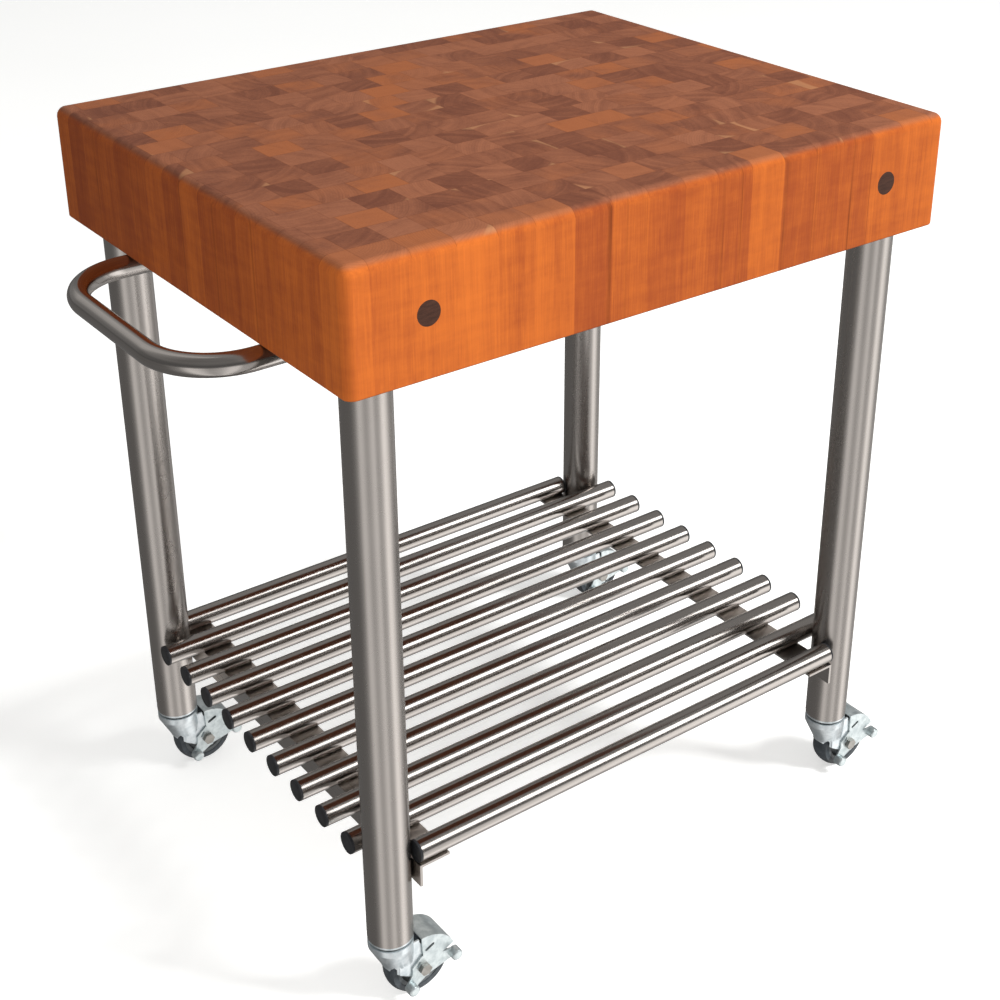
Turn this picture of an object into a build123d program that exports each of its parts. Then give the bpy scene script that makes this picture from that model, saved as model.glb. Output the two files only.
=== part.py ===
from build123d import *

import math
import os

# Butcher block table on a stainless steel frame with locking swivel casters.
# Millimetres, +Z up, floor at z = 0.  +X is the long way of the block, -Y is its front,
# and the towel handle stands out on the -X side.

# ---------------------------------------------------------------- driving dimensions
TOP_HEIGHT = 889.0
BLOCK_LENGTH = 762.0
BLOCK_DEPTH = 609.6
BLOCK_THICKNESS = 127.0
BLOCK_EASING = 11.0
BLOCK_BOTTOM_EASING = 2.0

ROD_SPACING = 588.0
ROD_HEIGHT = 827.0
ROD_RADIUS = 4.8
ROD_HOLE_RADIUS = 5.5
COUNTERBORE_RADIUS = 12.7
COUNTERBORE_DEPTH = 26.0
PLUG_THICKNESS = 8.0
WASHER_RADIUS = 12.0
WASHER_THICKNESS = 2.0
ROD_NUT_ACROSS = 16.0
ROD_NUT_THICKNESS = 8.0

LEG_SPACING_X = 666.8
LEG_SPACING_Y = 511.0
LEG_RADIUS = 25.4
LEG_WALL = 1.6
LEG_FOOT = 92.0
PLATE_RADIUS = 38.0
PLATE_THICKNESS = 4.0
PLATE_BOLT_RADIUS = 31.5
PLATE_SCREW_RADIUS = 3.0
PLATE_SCREW_LENGTH = 40.0
SCREW_HEAD_RADIUS = 6.0
SCREW_HEAD_HEIGHT = 3.0

HANDLE_REACH = 462.6
HANDLE_WIDTH = 292.0
HANDLE_BEND = 75.0
HANDLE_RADIUS = 12.0
HANDLE_WALL = 1.5
HANDLE_INSIDE = 231.0
HANDLE_SCREW_X = (-345.0, -265.0)
HANDLE_SCREW_BITE = 34.0

SHELF_HEIGHT = 200.5
SHELF_TUBES = 11
SHELF_PITCH = 54.03
SHELF_TUBE_RADIUS = 12.7
SHELF_TUBE_WALL = 1.2
SHELF_LONG = 717.6
SHELF_SHORT = 615.0
CAP_FLANGE = 3.0
CAP_PLUG = 12.0

RAIL_WIDTH = 38.1
RAIL_DROP = 28.0
RAIL_GAUGE = 3.0
RAIL_LENGTH = 561.0
RAIL_BOLT_DROP = 14.0
RAIL_BOLT_RADIUS = 3.0
SHELF_SCREW_RADIUS = 2.0
SHELF_SCREW_LENGTH = 6.0

WHEEL_RADIUS = 38.1
TYRE_WIDTH = 23.0
TYRE_BORE = 29.0
HUB_BOSS_RADIUS = 9.0
HUB_BOSS_WIDTH = 28.8
HUB_WEB = 6.0
CASTER_TRAIL = 30.0
AXLE_RADIUS = 4.0
RUNNING_GAP = 0.05

SOCKET_RADIUS = 25.0
SOCKET_FLANGE = 2.7
SOCKET_PLUG_RADIUS = 23.7
SOCKET_PLUG_HEIGHT = 40.0
STEM_RADIUS = 7.9
RACE_RADIUS = 22.0
RACE_THICKNESS = 2.8
KINGPIN_RADIUS = 4.95
KINGPIN_HEAD_RADIUS = 8.0
BALL_RADIUS = 2.3
BALL_RING = 16.0
BALL_COUNT = 12

CROWN_RADIUS = 25.2
CROWN_TOP = 86.0
CROWN_SKIRT = 66.0
WAIST_HEIGHT = 50.0
WAIST_MIDDLE = 9.0
WAIST_HALF_LENGTH = 20.0
CROWN_PLATE_TOP = 81.5
CROWN_PLATE_BOTTOM = 78.6
FORK_OUTSIDE = 33.8
FORK_GAUGE = 2.2
FORK_BOSS_RADIUS = 13.0

PEDAL_GAP = 0.3
PEDAL_GAUGE = 2.0
PEDAL_TAB_RADIUS = 6.8
PEDAL_TAB_LENGTH = 9.0
PEDAL_BACK_TAB = (69.2, 40.0)
PEDAL_FRONT_TAB = (12.0, 20.0)
HOOD_RADIUS = 42.6
HOOD_GAUGE = 1.6
HOOD_BACK = 22.0
HOOD_FRONT = 93.0

BALL_AND_SEAT_GAP = 0.2
CLEAR = 0.05
FAR = 200.0

# ---------------------------------------------------------------- derived places
BLOCK_UNDERSIDE = TOP_HEIGHT - BLOCK_THICKNESS
LEG_X = LEG_SPACING_X / 2
LEG_Y = LEG_SPACING_Y / 2
PLATE_UNDERSIDE = BLOCK_UNDERSIDE - PLATE_THICKNESS
RAIL_TOP = SHELF_HEIGHT - SHELF_TUBE_RADIUS
RAIL_FACE = LEG_X - LEG_RADIUS
RAIL_BOLT_Z = RAIL_TOP - RAIL_BOLT_DROP
SHELF_SCREW_X = RAIL_FACE - RAIL_WIDTH / 2
RACE_BOTTOM = LEG_FOOT - SOCKET_FLANGE - RACE_THICKNESS
RIGHT_REACH = LEG_X + PEDAL_BACK_TAB[0] + PEDAL_TAB_RADIUS
LEFT_REACH = HANDLE_REACH + HANDLE_RADIUS
# The block's centre stands off the origin so that the whole table is centred on it.
BLOCK_CENTRE_X = (LEFT_REACH - RIGHT_REACH) / 2

CORNERS = {
    "front_left": (-1, -1),
    "front_right": (1, -1),
    "back_left": (-1, 1),
    "back_right": (1, 1),
}


# ---------------------------------------------------------------- helpers
def save(name, *solids):
    """Write the solids of one node, moved so that the table is centred on the origin."""
    shift = Pos(BLOCK_CENTRE_X, 0, 0)
    moved = [shift * solid for solid in solids]
    shape = moved[0] if len(moved) == 1 else Compound(children=moved)
    export_step(shape, f"parts/{name}.step")


def upright(radius, low, high):
    """A cylinder about +Z from one height to another."""
    return Pos(0, 0, low) * Cylinder(radius, high - low, align=(Align.CENTER, Align.CENTER, Align.MIN))


def along_x(radius, low, high):
    """A cylinder about +X from one X to another."""
    return Rot(0, 90, 0) * upright(radius, low, high)


def along_y(radius, low, high):
    """A cylinder about +Y from one Y to another."""
    return Rot(-90, 0, 0) * upright(radius, low, high)


def box(low, high):
    """A block between two opposite corners."""
    size = [b - a for a, b in zip(low, high)]
    return Pos(*low) * Box(*size, align=(Align.MIN, Align.MIN, Align.MIN))


def hexagon(across, thickness):
    """A hexagonal nut blank standing on z = 0, measured across its flats."""
    return extrude(RegularPolygon(across / 2, 6, major_radius=False), thickness)


def side_profile(sketch, low, high):
    """Extrude a sketch drawn in X and Z from one Y to another."""
    return Pos(0, low, 0) * Rot(90, 0, 0) * extrude(sketch, -(high - low))


def rounded_link(first, first_radius, second, second_radius):
    """The flat link whose ends are two discs."""
    discs = [Pos(*first) * Circle(first_radius), Pos(*second) * Circle(second_radius)]
    edges = [edge for disc in discs for edge in disc.edges()]
    return make_hull(edges)


# ---------------------------------------------------------------- block and tie rods
def rod_places():
    """The X of each tie rod, and the Y direction of each of its two ends."""
    return [(side * ROD_SPACING / 2, end) for side in (-1, 1) for end in (-1, 1)]


def plate_screw_places():
    """Where the screws of all four leg plates enter the block."""
    offset = PLATE_BOLT_RADIUS * math.sqrt(0.5)
    return [
        (sx * LEG_X + dx * offset, sy * LEG_Y + dy * offset)
        for sx, sy in CORNERS.values()
        for dx in (-1, 1)
        for dy in (-1, 1)
    ]


def handle_screw_places():
    """Where the screws of the handle's two arms enter the block."""
    return [(x, side * HANDLE_WIDTH / 2) for side in (-1, 1) for x in HANDLE_SCREW_X]


def butcher_block():
    """The glued-up block, eased on its top and upright edges, with its drilled holes."""
    half_x = BLOCK_LENGTH / 2
    half_y = BLOCK_DEPTH / 2
    block = box((-half_x, -half_y, BLOCK_UNDERSIDE), (half_x, half_y, TOP_HEIGHT))
    eased = block.edges().filter_by(Axis.Z) + block.faces().sort_by(Axis.Z)[-1].edges()
    block = fillet(eased, BLOCK_EASING)
    block = fillet(block.faces().sort_by(Axis.Z)[0].edges(), BLOCK_BOTTOM_EASING)
    for x, end in rod_places():
        seat = half_y - COUNTERBORE_DEPTH
        low, high = sorted((end * seat, end * (half_y + 1)))
        block -= Pos(x, 0, ROD_HEIGHT) * along_y(COUNTERBORE_RADIUS, low, high)
        block -= Pos(x, 0, ROD_HEIGHT) * along_y(ROD_HOLE_RADIUS, -half_y, half_y)
    for x, y in plate_screw_places():
        top = BLOCK_UNDERSIDE + PLATE_SCREW_LENGTH - PLATE_THICKNESS + CLEAR
        block -= Pos(x, y, 0) * upright(PLATE_SCREW_RADIUS + CLEAR, BLOCK_UNDERSIDE - 1, top)
    for x, y in handle_screw_places():
        top = BLOCK_UNDERSIDE + HANDLE_SCREW_BITE + CLEAR
        block -= Pos(x, y, 0) * upright(PLATE_SCREW_RADIUS + CLEAR, BLOCK_UNDERSIDE - 1, top)
    return block


def tie_rod(x):
    """A threaded rod that pulls the block together from front to back."""
    half = BLOCK_DEPTH / 2 - PLUG_THICKNESS - 1.0
    return Pos(x, 0, ROD_HEIGHT) * along_y(ROD_RADIUS, -half, half)


def rod_washer(x, end):
    """The washer on the floor of a counterbore."""
    seat = BLOCK_DEPTH / 2 - COUNTERBORE_DEPTH
    low, high = sorted((end * seat, end * (seat + WASHER_THICKNESS)))
    ring = along_y(WASHER_RADIUS, low, high) - along_y(ROD_RADIUS + CLEAR, low - 1, high + 1)
    return Pos(x, 0, ROD_HEIGHT) * ring


def rod_nut(x, end):
    """The nut that tightens a tie rod against its washer."""
    seat = BLOCK_DEPTH / 2 - COUNTERBORE_DEPTH + WASHER_THICKNESS
    blank = Rot(-90, 0, 0) * hexagon(ROD_NUT_ACROSS, ROD_NUT_THICKNESS)
    bored = blank - along_y(ROD_RADIUS + CLEAR, -1, ROD_NUT_THICKNESS + 1)
    start = seat if end > 0 else -seat - ROD_NUT_THICKNESS
    return Pos(x, start, ROD_HEIGHT) * bored


def rod_plug(x, end):
    """The plug that closes a counterbore flush with the block's face."""
    face = BLOCK_DEPTH / 2
    low, high = sorted((end * (face - PLUG_THICKNESS), end * face))
    return Pos(x, 0, ROD_HEIGHT) * along_y(COUNTERBORE_RADIUS - CLEAR, low, high)


# ---------------------------------------------------------------- legs
def leg(sx, sy):
    """One leg tube, drilled on its inner side for the bolt that holds the shelf rail."""
    tube = upright(LEG_RADIUS, LEG_FOOT, PLATE_UNDERSIDE)
    tube -= upright(LEG_RADIUS - LEG_WALL, LEG_FOOT - 1, PLATE_UNDERSIDE + 1)
    low, high = sorted((0, -sx * (LEG_RADIUS + 1)))
    tube -= Pos(0, 0, RAIL_BOLT_Z) * along_x(RAIL_BOLT_RADIUS + CLEAR, low, high)
    return Pos(sx * LEG_X, sy * LEG_Y, 0) * tube


def leg_plate(sx, sy):
    """The round flange on top of a leg, drilled for its four screws."""
    plate = upright(PLATE_RADIUS, PLATE_UNDERSIDE, BLOCK_UNDERSIDE)
    offset = PLATE_BOLT_RADIUS * math.sqrt(0.5)
    for dx in (-1, 1):
        for dy in (-1, 1):
            hole = upright(PLATE_SCREW_RADIUS + CLEAR, PLATE_UNDERSIDE - 1, BLOCK_UNDERSIDE + 1)
            plate -= Pos(dx * offset, dy * offset, 0) * hole
    return Pos(sx * LEG_X, sy * LEG_Y, 0) * plate


def wood_screw(x, y, seat, tip):
    """A pan head screw that stands up into the block from the face its head seats on."""
    shank = upright(PLATE_SCREW_RADIUS, seat, tip)
    head = upright(SCREW_HEAD_RADIUS, seat - SCREW_HEAD_HEIGHT, seat)
    return Pos(x, y, 0) * (shank + head)


# ---------------------------------------------------------------- handle
def handle_path():
    """The handle's centre line: two arms and a cross bar joined by round bends."""
    z = BLOCK_UNDERSIDE - HANDLE_RADIUS
    half = HANDLE_WIDTH / 2
    corners = [
        (-HANDLE_INSIDE, half, z),
        (-HANDLE_REACH, half, z),
        (-HANDLE_REACH, -half, z),
        (-HANDLE_INSIDE, -half, z),
    ]
    return FilletPolyline(*corners, radius=HANDLE_BEND)


def handle_tube():
    """The bent tube of the towel handle, drilled for the screws through its arms."""
    path = handle_path()
    start = Plane(origin=path @ 0, z_dir=path % 0)
    section = start * (Circle(HANDLE_RADIUS) - Circle(HANDLE_RADIUS - HANDLE_WALL))
    tube = sweep(section, path=path)
    for x, y in handle_screw_places():
        low = BLOCK_UNDERSIDE - 2 * HANDLE_RADIUS - 1
        tube -= Pos(x, y, 0) * upright(PLATE_SCREW_RADIUS + CLEAR, low, BLOCK_UNDERSIDE + 1)
    return tube


def end_cap(radius, wall):
    """A tube end cap on the plane x = 0: its flange faces +X and its plug fills the tube."""
    flange = along_x(radius, 0, CAP_FLANGE)
    flange = fillet(flange.faces().sort_by(Axis.X)[-1].edges(), 1.0)
    return flange + along_x(radius - wall - CLEAR, -CAP_PLUG, 0.01)


def handle_cap(side):
    """The cap in the hidden inner end of one handle arm."""
    cap = end_cap(HANDLE_RADIUS, HANDLE_WALL)
    return Pos(-HANDLE_INSIDE, side * HANDLE_WIDTH / 2, BLOCK_UNDERSIDE - HANDLE_RADIUS) * cap


# ---------------------------------------------------------------- shelf
def tube_y(index):
    """The Y of a shelf tube, counted from 0 at the back."""
    return ((SHELF_TUBES - 1) / 2 - index) * SHELF_PITCH


def tube_half_length(index):
    """Half the length of a shelf tube with its caps: the outer two stand between the legs."""
    outer = index in (0, SHELF_TUBES - 1)
    return (SHELF_SHORT if outer else SHELF_LONG) / 2


def shelf_tube(index):
    """One shelf tube, drilled underneath for its two screws."""
    half = tube_half_length(index) - CAP_FLANGE
    tube = along_x(SHELF_TUBE_RADIUS, -half, half)
    tube -= along_x(SHELF_TUBE_RADIUS - SHELF_TUBE_WALL, -half - 1, half + 1)
    for side in (-1, 1):
        hole = upright(SHELF_SCREW_RADIUS + CLEAR, -SHELF_TUBE_RADIUS - 1, 0)
        tube -= Pos(side * SHELF_SCREW_X, 0, 0) * hole
    return Pos(0, tube_y(index), SHELF_HEIGHT) * tube


def shelf_cap(index, side):
    """The cap in one end of a shelf tube."""
    cap = end_cap(SHELF_TUBE_RADIUS, SHELF_TUBE_WALL)
    turned = cap if side > 0 else Rot(0, 0, 180) * cap
    x = side * (tube_half_length(index) - CAP_FLANGE)
    return Pos(x, tube_y(index), SHELF_HEIGHT) * turned


def rail(side):
    """An angle rail: the tubes lie on its flat flange and its upright flange meets the legs."""
    half = RAIL_LENGTH / 2
    flat = box((RAIL_FACE - RAIL_WIDTH, -half, RAIL_TOP - RAIL_GAUGE), (RAIL_FACE, half, RAIL_TOP))
    wall = box((RAIL_FACE - RAIL_GAUGE, -half, RAIL_TOP - RAIL_DROP), (RAIL_FACE, half, RAIL_TOP))
    angle = flat + wall
    inner_corner = angle.edges().filter_by(Axis.Y).sort_by_distance((RAIL_FACE - RAIL_GAUGE, 0, RAIL_TOP - RAIL_GAUGE))
    angle = fillet(inner_corner[0], 1.5)
    for index in range(SHELF_TUBES):
        hole = upright(SHELF_SCREW_RADIUS + CLEAR, RAIL_TOP - RAIL_GAUGE - 1, RAIL_TOP + 1)
        angle -= Pos(SHELF_SCREW_X, tube_y(index), 0) * hole
    for sy in (-1, 1):
        hole = along_x(RAIL_BOLT_RADIUS + CLEAR, RAIL_FACE - RAIL_GAUGE - 1, RAIL_FACE + 1)
        angle -= Pos(0, sy * LEG_Y, RAIL_BOLT_Z) * hole
    return angle if side > 0 else mirror(angle, about=Plane.YZ)


def shelf_screw(index, side):
    """A screw up through a rail into the underside of a shelf tube."""
    seat = RAIL_TOP - RAIL_GAUGE
    shank = upright(SHELF_SCREW_RADIUS, seat, seat + SHELF_SCREW_LENGTH)
    head = upright(2 * SHELF_SCREW_RADIUS, seat - SHELF_SCREW_RADIUS, seat)
    return Pos(side * SHELF_SCREW_X, tube_y(index), 0) * (shank + head)


def rail_bolt(sx, sy):
    """A bolt through a rail into the rivet nut inside the leg."""
    face = RAIL_FACE - RAIL_GAUGE
    shank = along_x(RAIL_BOLT_RADIUS, face, RAIL_FACE + 14)
    head = Pos(face - 4, 0, 0) * Rot(0, 90, 0) * hexagon(10.0, 4.0)
    bolt = Pos(0, sy * LEG_Y, RAIL_BOLT_Z) * (shank + head)
    return bolt if sx > 0 else mirror(bolt, about=Plane.YZ)


def rail_nut(sx, sy):
    """The rivet nut inside a leg."""
    low = RAIL_FACE + 2.6
    high = RAIL_FACE + 12.6
    nut = along_x(6.0, low, high) - along_x(RAIL_BOLT_RADIUS + CLEAR, low - 1, high + 1)
    nut = Pos(0, sy * LEG_Y, RAIL_BOLT_Z) * nut
    return nut if sx > 0 else mirror(nut, about=Plane.YZ)


# ---------------------------------------------------------------- casters
# Each caster piece is built about its own swivel axis, with the wheel trailing towards +X.
def caster_socket():
    """The plug in the foot of a leg that takes a caster's stem."""
    flange = upright(SOCKET_RADIUS, LEG_FOOT - SOCKET_FLANGE, LEG_FOOT)
    plug = upright(SOCKET_PLUG_RADIUS, LEG_FOOT - 0.01, LEG_FOOT + SOCKET_PLUG_HEIGHT)
    bore = upright(STEM_RADIUS + CLEAR, LEG_FOOT - SOCKET_FLANGE - 1, LEG_FOOT + SOCKET_PLUG_HEIGHT + 1)
    return flange + plug - bore


def caster_stem():
    """The fixed stem with its upper ball race and the kingpin that carries the fork."""
    stem = upright(STEM_RADIUS, RACE_BOTTOM, LEG_FOOT + SOCKET_PLUG_HEIGHT - 2)
    race = upright(RACE_RADIUS, RACE_BOTTOM, RACE_BOTTOM + RACE_THICKNESS)
    head_top = CROWN_PLATE_BOTTOM - BALL_AND_SEAT_GAP
    kingpin = upright(KINGPIN_RADIUS, head_top, RACE_BOTTOM + 0.01)
    head = upright(KINGPIN_HEAD_RADIUS, head_top - 3.2, head_top)
    return stem + race + kingpin + head


def bearing_balls():
    """The ring of balls between the fixed race and the fork's crown."""
    z = (CROWN_PLATE_TOP + RACE_BOTTOM) / 2
    places = PolarLocations(BALL_RING, BALL_COUNT)
    return [Pos(0, 0, z) * place * Sphere(BALL_RADIUS) for place in places]


def skirt(inset):
    """The fork's smooth body: round under the crown, and a slot's shape from the waist down."""
    top = Pos(0, 0, CROWN_PLATE_BOTTOM) * Circle(CROWN_RADIUS - inset)
    slot = SlotOverall(2 * (WAIST_HALF_LENGTH - inset), FORK_OUTSIDE - 2 * inset)
    waist = Pos(WAIST_MIDDLE, 0, WAIST_HEIGHT) * slot
    return loft([waist, top]) + extrude(waist, -WAIST_HEIGHT)


def fork():
    """The pressed fork: a round crown that narrows to two cheeks, which hold the axle."""
    half = FORK_OUTSIDE / 2
    inside = half - FORK_GAUGE
    crown = upright(CROWN_RADIUS, CROWN_PLATE_BOTTOM - 0.01, CROWN_TOP)
    outline = Polygon(
        (-26, CROWN_TOP), (-26, CROWN_SKIRT), (-11, 49), (20, 29), (CASTER_TRAIL + 11, 31),
        (CASTER_TRAIL + 12, 45), (26, 76), (26, CROWN_TOP), align=None
    )
    cheek = outline + Pos(CASTER_TRAIL, WHEEL_RADIUS) * Circle(FORK_BOSS_RADIUS)
    cheeks = side_profile(cheek, -half, half) & box((0, -half, 0), (FAR, half, CROWN_PLATE_BOTTOM))
    body = skirt(0) & side_profile(outline, -CROWN_RADIUS, CROWN_RADIUS)
    shell = crown + body + cheeks
    shell -= skirt(FORK_GAUGE)
    shell -= box((0, -inside, -1), (FAR, inside, CROWN_PLATE_BOTTOM))
    shell -= Pos(CASTER_TRAIL, 0, WHEEL_RADIUS) * along_y(WHEEL_RADIUS + 1.2, -inside, inside)
    shell -= upright(CROWN_RADIUS - 2, CROWN_PLATE_TOP, CROWN_TOP + 1)
    shell -= upright(KINGPIN_RADIUS + RUNNING_GAP, 0, CROWN_TOP)
    axle_hole = along_y(AXLE_RADIUS + RUNNING_GAP, -half - 1, half + 1)
    return shell - Pos(CASTER_TRAIL, 0, WHEEL_RADIUS) * axle_hole


def axle_seat():
    """How far from the wheel's middle the bolt head and the nut seat, outside the brake's plates."""
    return FORK_OUTSIDE / 2 + 2 * PEDAL_GAP + PEDAL_GAUGE


def axle_bolt():
    """The bolt that carries the wheel and the pedal."""
    seat = axle_seat()
    shank = along_y(AXLE_RADIUS, -seat, seat + 7)
    head = Pos(0, -seat - 4.5, 0) * Rot(-90, 0, 0) * hexagon(13.0, 4.5)
    return Pos(CASTER_TRAIL, 0, WHEEL_RADIUS) * (shank + head)


def axle_nut():
    """The nut on the far side of the fork."""
    blank = Rot(-90, 0, 0) * hexagon(13.0, 6.0) - along_y(AXLE_RADIUS + CLEAR, -1, 7)
    return Pos(CASTER_TRAIL, axle_seat(), WHEEL_RADIUS) * blank


def hub():
    """The wheel's plastic centre: a rim, a thin web and a boss that turns on the axle."""
    rim_half = TYRE_WIDTH / 2 - 1.0
    solid = along_y(TYRE_BORE, -rim_half, rim_half)
    for side in (-1, 1):
        low, high = sorted((side * HUB_WEB / 2, side * (rim_half + 1)))
        solid -= along_y(TYRE_BORE - 4.5, low, high)
    solid += along_y(HUB_BOSS_RADIUS, -HUB_BOSS_WIDTH / 2, HUB_BOSS_WIDTH / 2)
    solid -= along_y(AXLE_RADIUS + RUNNING_GAP, -FAR, FAR)
    return Pos(CASTER_TRAIL, 0, WHEEL_RADIUS) * solid


def tyre():
    """The crowned tread around the hub."""
    half = TYRE_WIDTH / 2
    shoulder = WHEEL_RADIUS - 3.0
    outline = Polyline((0, TYRE_BORE), (half, TYRE_BORE), (half, shoulder))
    outline += ThreePointArc((half, shoulder), (0, WHEEL_RADIUS), (-half, shoulder))
    outline += Polyline((-half, shoulder), (-half, TYRE_BORE), (0, TYRE_BORE))
    section = make_face(outline)
    ring = revolve(section, Axis.X, 360)
    return Pos(CASTER_TRAIL, 0, WHEEL_RADIUS) * Rot(0, 0, 90) * ring


def hood_wedge():
    """The wedge about the axle that the brake's hood spans."""
    axle = (CASTER_TRAIL, WHEEL_RADIUS)
    corners = [axle]
    for angle in (HOOD_BACK, (HOOD_BACK + HOOD_FRONT) / 2, HOOD_FRONT):
        turn = math.radians(angle)
        corners.append((axle[0] + 80 * math.cos(turn), axle[1] + 80 * math.sin(turn)))
    return Polygon(*corners, align=None)


def pedal():
    """The brake rocker: a hood over the wheel between two plates, with a tab at each end."""
    inner = -(FORK_OUTSIDE / 2 + PEDAL_GAP)
    outer = inner - PEDAL_GAUGE
    axle = (CASTER_TRAIL, WHEEL_RADIUS)
    sector = Pos(*axle) * Circle(HOOD_RADIUS) & hood_wedge()
    far_plate = sector + Pos(*axle) * Circle(12.0)
    ledge = Polygon((36, 25), (40, 50), (28, 56), (15, 45), (15, 25), align=None)
    plate = far_plate + ledge + rounded_link(axle, 12.0, PEDAL_BACK_TAB, 6.0)
    plate += rounded_link(axle, 12.0, PEDAL_FRONT_TAB, 6.0)
    plate -= Pos(38, 64) * Rot(0, 0, 25) * SlotOverall(13.0, 3.6)
    plate -= Pos(23, 46) * Rot(0, 0, 60) * SlotOverall(8.0, 2.4)
    sheet = Pos(*axle) * (Circle(HOOD_RADIUS) - Circle(HOOD_RADIUS - HOOD_GAUGE)) & hood_wedge()
    rocker = side_profile(sheet, outer, -outer)
    rocker += side_profile(plate, outer, inner)
    rocker += side_profile(far_plate, -inner, -outer)
    for x, z in (PEDAL_BACK_TAB, PEDAL_FRONT_TAB):
        tab = along_y(PEDAL_TAB_RADIUS, outer - PEDAL_TAB_LENGTH, inner)
        tab = fillet(tab.faces().sort_by(Axis.Y)[0].edges(), 2.5)
        rocker += Pos(x, 0, z) * tab
    hole = along_y(AXLE_RADIUS + RUNNING_GAP, outer - 1, 1 - outer)
    return rocker - Pos(CASTER_TRAIL, 0, WHEEL_RADIUS) * hole


# ---------------------------------------------------------------- write every node
def write_block():
    """The block and what pulls it together."""
    save("butcher_block", butcher_block())
    save("tie_rods", *[tie_rod(side * ROD_SPACING / 2) for side in (-1, 1)])
    save("tie_rod_washers", *[rod_washer(x, end) for x, end in rod_places()])
    save("tie_rod_nuts", *[rod_nut(x, end) for x, end in rod_places()])
    save("rod_plugs", *[rod_plug(x, end) for x, end in rod_places()])


def write_legs():
    """The legs, their plates and the screws into the block."""
    for name, (sx, sy) in CORNERS.items():
        save(f"leg_{name}", leg(sx, sy))
    save("leg_plates", *[leg_plate(sx, sy) for sx, sy in CORNERS.values()])
    tip = PLATE_UNDERSIDE + PLATE_SCREW_LENGTH
    save("leg_plate_screws", *[wood_screw(x, y, PLATE_UNDERSIDE, tip) for x, y in plate_screw_places()])


def write_handle():
    """The towel handle with its caps and screws."""
    seat = BLOCK_UNDERSIDE - 2 * HANDLE_RADIUS
    tip = BLOCK_UNDERSIDE + HANDLE_SCREW_BITE
    save("handle_tube", handle_tube())
    save("handle_caps", *[handle_cap(side) for side in (-1, 1)])
    save("handle_screws", *[wood_screw(x, y, seat, tip) for x, y in handle_screw_places()])


def write_shelf():
    """The shelf tubes on their two rails."""
    ends = [(index, side) for index in range(SHELF_TUBES) for side in (-1, 1)]
    for index in range(SHELF_TUBES):
        save(f"shelf_tube_{index + 1:02d}", shelf_tube(index))
    save("shelf_tube_caps", *[shelf_cap(index, side) for index, side in ends])
    save("shelf_screws", *[shelf_screw(index, side) for index, side in ends])
    save("rail_left", rail(-1))
    save("rail_right", rail(1))
    save("rail_bolts", *[rail_bolt(sx, sy) for sx, sy in CORNERS.values()])
    save("rail_rivet_nuts", *[rail_nut(sx, sy) for sx, sy in CORNERS.values()])


def write_casters():
    """The four locking swivel casters."""
    places = {name: Pos(sx * LEG_X, sy * LEG_Y, 0) for name, (sx, sy) in CORNERS.items()}
    save("caster_sockets", *[place * caster_socket() for place in places.values()])
    balls = [place * ball for place in places.values() for ball in bearing_balls()]
    save("caster_bearing_balls", *balls)
    for name, place in places.items():
        save(f"caster_stem_{name}", place * caster_stem())
        save(f"caster_fork_{name}", place * fork())
        save(f"caster_axle_{name}", place * axle_bolt(), place * axle_nut())
        save(f"wheel_hub_{name}", place * hub())
        save(f"wheel_tyre_{name}", place * tyre())
        save(f"brake_pedal_{name}", place * pedal())


os.makedirs("parts", exist_ok=True)
write_block()
write_legs()
write_handle()
write_shelf()
write_casters()
print("block centre x", round(BLOCK_CENTRE_X, 3))
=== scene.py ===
"""Looks of a rolling butcher block table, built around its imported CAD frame.

Metres, +Z up.  +X is the long way of the block and -Y is its front.  The towel handle is at the
-X end.
"""

import logging
import math
import random
from dataclasses import dataclass
from enum import Enum
from typing import Any

import bmesh
import bpy
from mathutils import Matrix, Vector


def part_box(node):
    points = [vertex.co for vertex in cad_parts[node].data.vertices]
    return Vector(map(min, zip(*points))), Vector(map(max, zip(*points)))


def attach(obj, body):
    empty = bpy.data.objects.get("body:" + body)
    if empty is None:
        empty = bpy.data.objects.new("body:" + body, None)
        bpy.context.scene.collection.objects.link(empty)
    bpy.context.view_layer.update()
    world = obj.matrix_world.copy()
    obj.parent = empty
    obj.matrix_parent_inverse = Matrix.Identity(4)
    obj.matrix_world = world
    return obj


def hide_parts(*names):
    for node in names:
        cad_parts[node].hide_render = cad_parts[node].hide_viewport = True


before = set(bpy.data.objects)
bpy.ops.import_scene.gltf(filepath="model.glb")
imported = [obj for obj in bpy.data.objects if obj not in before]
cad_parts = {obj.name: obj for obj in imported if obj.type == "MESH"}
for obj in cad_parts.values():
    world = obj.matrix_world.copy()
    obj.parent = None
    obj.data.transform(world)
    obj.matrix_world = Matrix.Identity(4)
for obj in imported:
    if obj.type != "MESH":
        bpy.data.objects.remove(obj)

LOG = logging.getLogger("butcher_block_table")
CORNERS = ("front_left", "front_right", "back_left", "back_right")
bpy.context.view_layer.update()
LOOSE_GAP = 2e-6
SPUN_GAP = 1e-6
FLAT_WITHIN = math.radians(0.4)
SHARP_PAST = math.radians(35)
STAVE_MARKS = {
    "stave_tone": "FLOAT",
    "stave_age": "FLOAT",
    "stave_sap": "FLOAT",
    "stave_pith": "FLOAT_VECTOR",
    "stave_middle": "FLOAT_VECTOR",
    "stave_half": "FLOAT_VECTOR",
}


def tone(code: str) -> tuple[float, float, float, float]:
    """Turn a paint chip's hex code into the linear colour that a shader takes.

    Args:
        code: red, green and blue as six hex digits.

    Returns:
        Linear red, green and blue, with an alpha of 1.
    """
    parts = [int(code[i : i + 2], 16) / 255 for i in (0, 2, 4)]
    light = [p / 12.92 if p <= 0.04045 else ((p + 0.055) / 1.055) ** 2.4 for p in parts]
    return (light[0], light[1], light[2], 1.0)


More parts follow.
